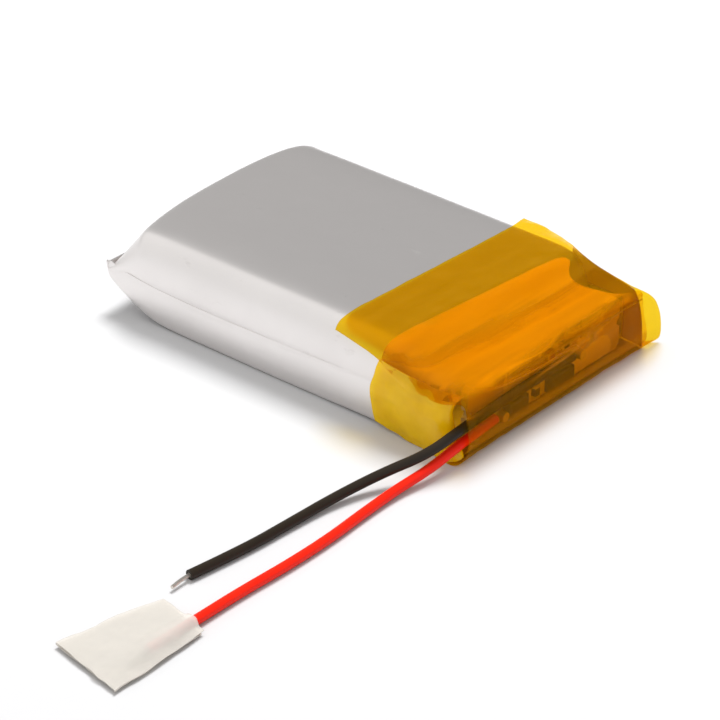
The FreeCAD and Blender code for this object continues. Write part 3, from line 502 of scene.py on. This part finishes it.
inner_cage = [
    film_row([(8.96, -10.02, 5.35), (9.1, -9.96, 6.05), (8.95, -8.9, 6.51)],
             [(10.5, 6.9, 6.51), (10.9, 7.2, 6.45), (11.2, 7.25, 6.35)]),
    film_row([(9.9, -10.04, 4.9), (9.9, -9.98, 5.8), (9.8, -9.0, 6.5)],
             [(11.0, 6.6, 6.42), (11.3, 6.9, 6.34), (11.5, 6.95, 6.25)]),
    film_row([(10.6, -10.04, 4.6), (10.5, -9.97, 5.5), (10.5, -9.0, 6.2)],
             [(11.3, 6.2, 6.26), (11.5, 6.4, 6.2), (11.7, 6.5, 6.12)]),
    film_row([(11.4, -10.04, 4.4), (11.3, -9.95, 5.2), (11.2, -9.0, 5.78)],
             [(11.9, 5.8, 5.92), (12.05, 5.95, 5.88), (12.2, 6.0, 5.85)]),
    film_row([(12.5, -10.02, 4.2), (12.4, -9.9, 5.0), (12.4, -8.9, 5.55)],
             [(12.9, 5.7, 5.66), (13.05, 5.9, 5.62), (13.2, 5.95, 5.56)]),
    film_row([(13.7, -9.98, 4.1), (13.7, -9.8, 4.7), (13.8, -8.8, 5.15)],
             [(14.1, 6.4, 5.3), (14.2, 6.7, 5.25), (14.3, 6.8, 5.2)]),
    film_row([(15.1, -9.8, 4.2), (15.1, -9.5, 4.5), (15.15, -8.6, 4.7)],
             [(15.3, 7.4, 4.8), (15.35, 7.9, 4.75), (15.4, 8.1, 4.7)]),
    pleat(4.6, 0.3, 15.6), pleat(4.25, 0.12, 15.86), pleat(3.95, 0.28, 15.88),
    pleat(3.75, 0.05, 15.9), pleat(3.45, 0.32, 15.88), pleat(3.2, 0.06, 15.9),
    pleat(2.9, 0.2, 15.88), pleat(2.6, 0.05, 15.88),
    film_row([(15.9, -9.2, 1.2), (15.9, -8.9, 1.2), (15.88, -8.3, 1.2)],
             [(15.88, 7.8, 1.2), (15.88, 8.9, 1.2), (15.9, 10.2, 1.1)]),
    film_row([(15.8, -9.3, 0.3), (15.8, -8.9, 0.25), (15.75, -8.3, 0.2)],
             [(15.75, 7.8, 0.2), (15.8, 8.9, 0.2), (15.9, 10.0, 0.25)]),
    film_row([(15.1, -9.6, 0.1), (15.1, -9.0, 0.09), (15.0, -8.3, 0.09)],
             [(15.0, 7.8, 0.09), (15.1, 8.9, 0.09), (15.2, 9.6, 0.1)]),
    film_row([(12.6, -9.6, 0.09), (12.6, -9.0, 0.09), (12.5, -8.3, 0.09)],
             [(12.5, 7.8, 0.09), (12.6, 8.9, 0.09), (12.6, 9.5, 0.09)]),
    film_row([(9.7, -9.6, 0.09), (9.7, -9.0, 0.09), (9.6, -8.3, 0.09)],
             [(9.7, 7.8, 0.09), (9.7, 8.9, 0.09), (9.7, 9.5, 0.09)]),
]
inner_film = shaped_sheet("inner_amber_film", inner_cage, FILM, offset=0.0,
                          crinkle=(1.3, -0.1, 0.7))
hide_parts("inner_tape")


def clear_film(name, tint, body_colour, cloud, glued=0.0, creased=0.0):
    """Clear film: light passes with a tint, a share of it scatters, and the face is glossy.
    A glued film is cloudier above the board, where it is stuck down flat, with a painted shade in
    the dip below the ridge and a painted highlight haze near the table; it is clear on the end face
    between.
    A creased one shows fold lines along the board end as painted highlights and painted shade, pale
    and brown."""
    material, shader, place = new_finish(name, Roughness=0.2, IOR=1.5)
    tree = material.node_tree
    patches = place.noise(2.4 * MM, 3.0)
    clear = place.node("ShaderNodeBsdfTransparent", {}, {"Color": (*tint, 1)})
    grazing = place.node("ShaderNodeLayerWeight", {}, {"Blend": 0.5}, output=1)
    share = patches * cloud + grazing ** 5 * 0.7 + cloud * 0.6
    up = place.axis(2)
    if glued:
        folds = place.noise(1.1 * MM, 2.0, 0.5, (1, 0.1, 1))
        height = up + folds * 0.8 * MM
        # painted shade: a band along the dip below the ridge where the film scatters less, so that
        # it shows darker there
        painted_valley_shade = height.band(5.75 * MM, 5.95 * MM) * (1 - height.band(6.15 * MM, 6.4 * MM))
        pressed_cloud_and_valley_shade = height.band(4.9 * MM, 5.3 * MM) * (1 - painted_valley_shade * 0.45)
        # painted highlight: near the table the film scatters more, a bright haze along its bottom
        # strip
        painted_low_haze = (1 - height.band(1.2 * MM, 1.9 * MM)) * 0.5
        share = share + (pressed_cloud_and_valley_shade + painted_low_haze) * (folds * 0.9 + 0.55) * glued
    lines = place.noise(1.5 * MM, 0.0, 0.5, (1, 0.2, 1))
    board_end = up.band(2.7 * MM, 3.2 * MM) * (1 - up.band(4.5 * MM, 4.9 * MM)) * creased
    # painted highlights and painted shade on the fold lines along the board end: the pale lines
    # scatter more, and the brown lines scatter more and turn dark brown
    painted_crease_highlight = lines.band(0.40, 0.47) * (1 - lines.band(0.47, 0.53)) * board_end
    painted_crease_shade = lines.band(0.54, 0.58) * (1 - lines.band(0.58, 0.66)) * board_end
    share = share + painted_crease_highlight * 0.6 + painted_crease_shade
    # the colour of the painted shade on the fold lines: the body colour darkened
    brown = tuple(channel * 0.16 for channel in body_colour)
    connect(shader.inputs["Base Color"], painted_crease_shade.blend(body_colour, brown))
    mixed = place.node("ShaderNodeMixShader", {}, {0: share, 1: clear, 2: Field(shader.outputs[0])})
    tree.links.new(mixed.socket, tree.nodes["Material Output"].inputs["Surface"])
    connect(shader.inputs["Roughness"], patches * 0.15 + 0.1)
    wrinkles = place.noise(1.1 * MM, 3.0, 0.5, (1, 0.25, 1))
    connect(shader.inputs["Normal"], bump(wrinkles, 0.03 * MM))
    return material


# the far side, closed by the lower half of the inner film turned up
far_side_cage = [
    [(9.5, 9.95, 0.1), (12.0, 9.95, 0.08), (14.2, 9.95, 0.08), (15.8, 9.7, 0.1)],
    [(9.3, 10.04, 1.6), (12.0, 10.08, 1.5), (14.2, 10.06, 1.5), (15.85, 9.6, 1.5)],
    [(9.2, 10.04, 3.2), (12.0, 10.06, 3.2), (14.2, 10.0, 3.2), (15.85, 9.4, 3.0)],
    [(9.4, 9.92, 4.8), (12.0, 9.8, 4.6), (14.2, 9.5, 4.4), (15.8, 9.1, 4.2)],
    [(10.0, 9.2, 6.15), (12.1, 8.55, 5.9), (14.2, 8.65, 5.45), (15.6, 8.8, 5.0)],
]
far_side_film = shaped_sheet("far_side_film", far_side_cage, FILM, offset=0.0)
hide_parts("outer_tape")

outer_film.data.materials.append(
    clear_film("amber_film", (0.96, 0.79, 0.13), (0.64, 0.36, 0.0), 0.035, glued=0.07))
side_film.data.materials.append(
    clear_film("side_amber_film", (0.98, 0.84, 0.13), (1.0, 0.68, 0.0), 0.44))
inner_film.data.materials.append(
    clear_film("pale_amber_film", (0.985, 0.88, 0.4), (0.85, 0.54, 0.0), 0.03, glued=0.5,
               creased=0.55))
far_side_film.data.materials.append(
    clear_film("folded_amber_film", (0.74, 0.44, 0.07), (0.50, 0.30, 0.08), 0.45))

# --- Leads -------------------------------------------------------------------------------
# Two fine stranded wires, black for negative and red for positive, in extruded sleeves.
# Each is soldered to the board, leaves by the mouth of the tape and lies down on the table.
# Their routes are in millimetres from the near corner of the board end, on the table.
LEAD_FOOT = Vector((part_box("outer_tape")[1][0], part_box("pouch_lid")[0][1], 0))
BLACK_ROUTE = [
    (-0.72, 12.4, 2.4), (-0.7, 8.6, 2.4), (-0.6, 4.4, 2.42), (-0.44, 0.3, 2.4),
    (-0.7, -2.9, 1.85), (-2.35, -5.6, 1.0), (-3.3, -9.3, 0.5), (-3.6, -13.4, 0.37),
    (-3.8, -17.4, 0.36), (-4.44, -21.8, 0.36),
]
RED_ROUTE = [
    (-0.72, 4.1, 1.3), (-0.52, 2.1, 1.32), (-0.42, 0.0, 1.3), (-0.5, -2.9, 0.8),
    (-0.9, -5.7, 0.45), (-0.8, -9.1, 0.37), (-0.5, -13.0, 0.36), (-0.5, -17.1, 0.36),
    (-0.72, -21.2, 0.36), (-0.7, -25.3, 0.4), (-0.76, -29.5, 0.4),
]
LEAD_DIAMETER = 0.7 * MM
CORE_DIAMETER = 0.32 * MM


def wire(name, points, diameter):
    """A round wire on one smooth spline drawn towards its points, in metres.  The bevel is
    1 m deep at radius 1, so a point's radius is the wire's own and the bounds stay true."""
    curve = bpy.data.curves.new(name, "CURVE")
    curve.dimensions = "3D"
    spline = curve.splines.new("NURBS")
    spline.points.add(len(points) - 1)
    for target, point in zip(spline.points, points):
        target.co = (*point, 1)
        target.radius = diameter / 2
    spline.order_u = 3
    spline.use_endpoint_u = True
    spline.resolution_u = 16
    curve.bevel_depth = 1.0
    curve.bevel_resolution = 8
    curve.use_fill_caps = True
    piece = bpy.data.objects.new(name, curve)
    bpy.context.scene.collection.objects.link(piece)
    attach(piece, "root")
    return piece


def sleeve_finish(name, colour, dust):
    """Extruded sleeve: satin, faintly drawn along its length, a little dust and handling."""
    material, shader, place = new_finish(name, Roughness=0.42, Specular_IOR_Level=0.2)
    patches = place.noise(2.2 * MM, 3.0)
    connect(shader.inputs["Base Color"], (patches * 0.35).blend(colour, dust))
    connect(shader.inputs["Roughness"], patches * 0.2 + 0.34)
    drawn = place.noise(0.16 * MM, 2.0, 0.5, (1, 0.12, 1))
    connect(shader.inputs["Normal"], bump(drawn, 0.012 * MM, 0.6))
    return material


black_points = [LEAD_FOOT + Vector(point) * MM for point in BLACK_ROUTE]
red_points = [LEAD_FOOT + Vector(point) * MM for point in RED_ROUTE]

tinned, tinned_shader, tinned_place = new_finish("tinned_strand", Metallic=1.0, Roughness=0.38)
tarnish = tinned_place.noise(0.3 * MM, 3.0)
connect(tinned_shader.inputs["Base Color"], tarnish.blend((0.80, 0.76, 0.70), (0.55, 0.50, 0.44)))
connect(tinned_shader.inputs["Roughness"], tarnish * 0.25 + 0.28)

black_lead = wire("black_lead_sleeve", black_points, LEAD_DIAMETER)
black_lead.data.materials.append(
    sleeve_finish("black_sleeve", (0.014, 0.010, 0.006), (0.04, 0.027, 0.018)))
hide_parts("black_lead")

red_lead = wire("red_lead_sleeve", red_points, LEAD_DIAMETER)
red_lead.data.materials.append(
    sleeve_finish("red_sleeve", (0.80, 0.011, 0.002), (0.84, 0.027, 0.005)))
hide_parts("red_lead")

# the strands: one core inside each sleeve, and the black lead's bare tip, a plain thinner wire
# that runs 1.68 mm past the sleeve and bends a little
tip_step = (black_points[-1] - black_points[-2]).normalized() * MM
tip_points = [black_points[-1], black_points[-1] + tip_step * 0.8 + Vector((0.08, 0, 0.03)) * MM,
              black_points[-1] + tip_step * 1.68 + Vector((0.3, 0, -0.06)) * MM]
black_core = wire("black_strands", black_points, CORE_DIAMETER)
red_core = wire("red_strands", red_points, CORE_DIAMETER)
for core, node in ((black_core, "black_conductor"), (red_core, "red_conductor")):
    core.data.materials.append(tinned)
    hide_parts(node)

black_tip = wire("black_tip", tip_points, CORE_DIAMETER * 0.8)
black_tip.data.materials.append(tinned)
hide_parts("black_conductor")

# --- Lead end flag -----------------------------------------------------------------------
# A strip of white crepe tape folded over the red lead's end, so that it can't touch the black.
# Its two plies meet round the lead, and it lies crinkled on the table.
FLAG_PLY = 0.08 * MM
# the two ends of each line across the flag, the rise over the lead along a line, and how that
# rise fades from line to line
FLAG_EDGES = [((12.1, -34.6), (16.35, -35.7)), ((11.75, -36.1), (16.5, -37.5)),
              ((11.0, -38.2), (16.5, -39.6)), ((11.0, -40.0), (16.7, -41.3)),
              ((10.5, -41.6), (16.5, -42.8)), ((10.4, -42.6), (16.6, -43.7))]
LEAD_RIDGE = [(0.0, 0.0), (0.22, 0.06), (0.42, 0.12), (0.56, 0.3), (0.66, 0.85), (0.74, 1.0),
              (0.82, 0.85), (0.9, 0.25), (1.0, 0.0)]
RIDGE_FALL = [1.0, 1.0, 0.95, 0.55, 0.2, 0.05]
CREASES = random.Random(7)


def flag_ply(name, over_lead, clear_of_table):
    """One ply of the flag; the upper one rides over the lead, and both are crinkled."""
    cage = []
    for ((x0, y0), (x1, y1)), fall in zip(FLAG_EDGES, RIDGE_FALL):
        row = []
        for t, ridge in LEAD_RIDGE:
            lift = over_lead * ridge * fall + CREASES.uniform(0.0, 0.2)
            sway = CREASES.uniform(-0.14, 0.14)
            row.append((x0 + (x1 - x0) * t, y0 + (y1 - y0) * t + sway, clear_of_table + lift))
        cage.append(row)
    return shaped_sheet(name, cage, FLAG_PLY, crinkle=(1.0, 0.1, 0.5))


upper_ply = flag_ply("flag_upper_ply", 0.66, 0.2)
lower_ply = flag_ply("flag_lower_ply", 0.0, 0.1)
crepe, crepe_shader, crepe_place = new_finish("crepe_tape", Roughness=0.6, Specular_IOR_Level=0.3)
crepe_fibres = crepe_place.noise(0.35 * MM, 4.0, 0.6, (1, 0.4, 1))
crepe_clouds = crepe_place.noise(2.5 * MM, 2.0)
connect(crepe_shader.inputs["Base Color"],
        crepe_clouds.blend((0.70, 0.685, 0.65), (0.62, 0.59, 0.54)))
connect(crepe_shader.inputs["Roughness"], crepe_fibres * 0.25 + 0.42)
connect(crepe_shader.inputs["Normal"], bump(crepe_fibres * 0.4 + crepe_clouds * 0.6, 0.06 * MM))
thin = crepe_place.node("ShaderNodeBsdfTransparent", {}, {"Color": (0.97, 0.94, 0.91, 1)})
crepe_layers = {0: crepe_clouds * 0.25 + 0.42, 1: thin, 2: Field(crepe_shader.outputs[0])}
crepe_mix = crepe_place.node("ShaderNodeMixShader", {}, crepe_layers)
crepe_output = crepe.node_tree.nodes["Material Output"]
crepe.node_tree.links.new(crepe_mix.socket, crepe_output.inputs["Surface"])
for ply in (upper_ply, lower_ply):
    ply.data.materials.append(crepe)
    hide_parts("lead_end_flag")

# --- Stage -------------------------------------------------------------------------------
# A plain pale table, three metres square, under soft studio light.
TABLE_SIDE = 3.0
bpy.context.scene.view_settings.view_transform = "Standard"
bpy.ops.object.select_all(action="DESELECT")
bpy.ops.mesh.primitive_plane_add(size=TABLE_SIDE)
table = bpy.context.object
table.name = "table"
paper, *_ = new_finish("pale_table", Base_Color=(0.55, 0.55, 0.555), Roughness=0.9)
table.data.materials.append(paper)

world = bpy.data.worlds.new("studio")
bpy.context.scene.world = world
world.use_nodes = True
sky = world.node_tree.nodes["Background"]
direction = Field(world.node_tree.nodes.new("ShaderNodeTexCoord").outputs["Generated"])
far_side = direction.axis(1)
connect(sky.inputs["Color"], (0.99, 0.985, 0.98))
fold_side = direction.axis(0) * -1
connect(sky.inputs["Strength"],
        0.95 - far_side.band(0.22, 0.60) * 0.65 - fold_side.band(0.80, 1.0) * 0.22)

PACK_MIDDLE = Vector((4.27, -6.70, 2.0)) * MM


def softbox(name, azimuth, elevation, distance, size, power):
    """A square area light aimed at the pack, placed by compass angle and height angle."""
    turn = math.radians(azimuth)
    rise = math.radians(elevation)
    way = Vector((math.sin(turn) * math.cos(rise), -math.cos(turn) * math.cos(rise),
                  math.sin(rise)))
    data = bpy.data.lights.new(name, "AREA")
    data.size = size
    data.energy = power
    lamp = bpy.data.objects.new(name, data)
    bpy.context.scene.collection.objects.link(lamp)
    lamp.location = PACK_MIDDLE + way * distance
    lamp.rotation_euler = way.to_track_quat("Z", "Y").to_euler()
    return lamp


key = softbox("overhead_softbox", 206, 60, 0.5, 0.2, 3.6)
key.visible_glossy = False

CAMERA_AZIMUTH = math.radians(40.523)
CAMERA_ELEVATION = math.radians(30.579)
CAMERA_DISTANCE = 270.526 * MM
away = Vector((math.sin(CAMERA_AZIMUTH) * math.cos(CAMERA_ELEVATION),
               -math.cos(CAMERA_AZIMUTH) * math.cos(CAMERA_ELEVATION), math.sin(CAMERA_ELEVATION)))
camera_data = bpy.data.cameras.new("camera")
camera_data.lens = 200
camera_data.sensor_width = 36
camera_data.clip_start = 0.01
camera = bpy.data.objects.new("camera", camera_data)
bpy.context.scene.collection.objects.link(camera)
camera.location = PACK_MIDDLE + away * CAMERA_DISTANCE
camera.rotation_euler = away.to_track_quat("Z", "Y").to_euler()
bpy.context.scene.camera = camera
